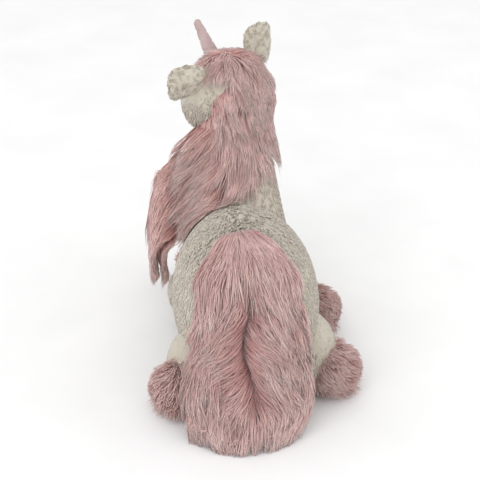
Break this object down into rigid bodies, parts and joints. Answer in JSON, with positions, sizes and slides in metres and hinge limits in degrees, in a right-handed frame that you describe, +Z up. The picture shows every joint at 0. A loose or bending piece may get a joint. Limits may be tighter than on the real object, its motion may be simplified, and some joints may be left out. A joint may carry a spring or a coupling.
{
  "type": "plush unicorn",
  "caption": "Lying plush unicorn with short cream plush, long-pile mane, tail and feet, a satin horn and soft jointed limbs.",
  "frame": {"origin": "on the floor under the middle of the torso, on the flat of the belly", "axes": "+Z up, -Y the way the unicorn faces, +X its own left side"},
  "size_m": [0.3075, 0.5365, 0.4591],
  "materials": {
    "cream_plush": "short dense pile, matt",
    "pink_pile": "long brushed pile, soft sheen",
    "pink_backing": "knitted backing",
    "horn_satin": "satin, soft sheen",
    "ear_lining": "short smooth plush",
    "filling": "loose polyester fibre",
    "eye_plastic": "gloss moulded",
    "washer_plastic": "moulded",
    "thread": "embroidery floss"
  },
  "bodies": {
    "torso": {"torso_left_panel": "cream_plush", "torso_right_panel": "cream_plush", "belly_panel": "cream_plush", "torso_stuffing": "filling"},
    "neck": {"neck_left_panel": "cream_plush", "neck_right_panel": "cream_plush", "neck_stuffing": "filling", "mane_crest": "pink_pile"},
    "mane": {"mane_flap": "pink_pile"},
    "head": {"head_left_panel": "cream_plush", "head_right_panel": "cream_plush", "head_gusset": "cream_plush", "head_stuffing": "filling", "forelock": "pink_pile", "eye_left": "eye_plastic", "eye_right": "eye_plastic", "eye_washer_left": "washer_plastic", "eye_washer_right": "washer_plastic", "nostril_stitches": "thread", "mouth_stitch": "thread"},
    "left_ear": {"ear_left_back": "cream_plush", "ear_left_lining": "ear_lining"},
    "right_ear": {"ear_right_back": "cream_plush", "ear_right_lining": "ear_lining"},
    "horn": {"horn_cover": "horn_satin", "horn_stuffing": "filling"},
    "tail": {"tail_pile": "pink_pile", "tail_backing": "pink_backing"},
    "front_left_leg": {"front_left_leg_cover": "cream_plush", "front_left_leg_stuffing": "filling", "front_left_foot_cover": "pink_pile", "front_left_foot_stuffing": "filling"},
    "front_right_leg": {"front_right_leg_cover": "cream_plush", "front_right_leg_stuffing": "filling", "front_right_foot_cover": "pink_pile", "front_right_foot_stuffing": "filling"},
    "hind_left_leg": {"hind_left_leg_cover": "cream_plush", "hind_left_leg_stuffing": "filling", "hind_left_foot_cover": "pink_pile", "hind_left_foot_stuffing": "filling"},
    "hind_right_leg": {"hind_right_leg_cover": "cream_plush", "hind_right_leg_stuffing": "filling", "hind_right_foot_cover": "pink_pile", "hind_right_foot_stuffing": "filling"}
  },
  "joints": [
    {"name": "neck_bend", "type": "hinge", "parent": "torso", "child": "neck", "pos_m": [0, -0.07, 0.14], "axis": [1, 0, 0], "range_deg": [-6, 12], "stiffness_Nm_per_rad": 8},
    {"name": "head_turn", "type": "hinge", "parent": "neck", "child": "head", "pos_m": [0, -0.16299, 0.35908], "axis": [0, -0.3907, 0.9205], "range_deg": [-20, 20], "stiffness_Nm_per_rad": 1.5},
    {"name": "mane_lift", "type": "hinge", "parent": "neck", "child": "mane", "pos_m": [0.088, -0.046, 0.178], "axis": [-0.1342, -0.7007, 0.7007], "range_deg": [0, 40]},
    {"name": "left_ear_tilt", "type": "hinge", "parent": "head", "child": "left_ear", "pos_m": [0.04069, -0.13236, 0.39615], "axis": [0.4695, -0.8829, 0], "range_deg": [-5, 50], "stiffness_Nm_per_rad": 0.06},
    {"name": "right_ear_tilt", "type": "hinge", "parent": "head", "child": "right_ear", "pos_m": [-0.04815, -0.1796, 0.39615], "axis": [0.4695, -0.8829, 0], "range_deg": [-5, 50], "stiffness_Nm_per_rad": 0.06},
    {"name": "horn_wobble", "type": "hinge", "parent": "head", "child": "horn", "pos_m": [0.02122, -0.2029, 0.397], "axis": [0.8829, 0.4695, 0], "range_deg": [-10, 10], "stiffness_Nm_per_rad": 0.15},
    {"name": "tail_lift", "type": "hinge", "parent": "torso", "child": "tail", "pos_m": [0.014, 0.089, 0.252], "axis": [1, 0, 0], "range_deg": [0, 60]},
    {"name": "front_left_leg_swing", "type": "hinge", "parent": "torso", "child": "front_left_leg", "pos_m": [0.074, -0.102, 0.044], "axis": [0, 0, 1], "range_deg": [0, 35], "stiffness_Nm_per_rad": 0.6},
    {"name": "front_right_leg_swing", "type": "hinge", "parent": "torso", "child": "front_right_leg", "pos_m": [-0.08, -0.072, 0.044], "axis": [0, 0, 1], "range_deg": [0, 45], "stiffness_Nm_per_rad": 0.6},
    {"name": "hind_left_leg_swing", "type": "hinge", "parent": "torso", "child": "hind_left_leg", "pos_m": [0.076, 0.112, 0.05], "axis": [0, 0, -1], "range_deg": [0, 40], "stiffness_Nm_per_rad": 0.6},
    {"name": "hind_right_leg_swing", "type": "hinge", "parent": "torso", "child": "hind_right_leg", "pos_m": [-0.078, 0.1, 0.05], "axis": [0, 0, 1], "range_deg": [0, 40], "stiffness_Nm_per_rad": 0.6}
  ]
}
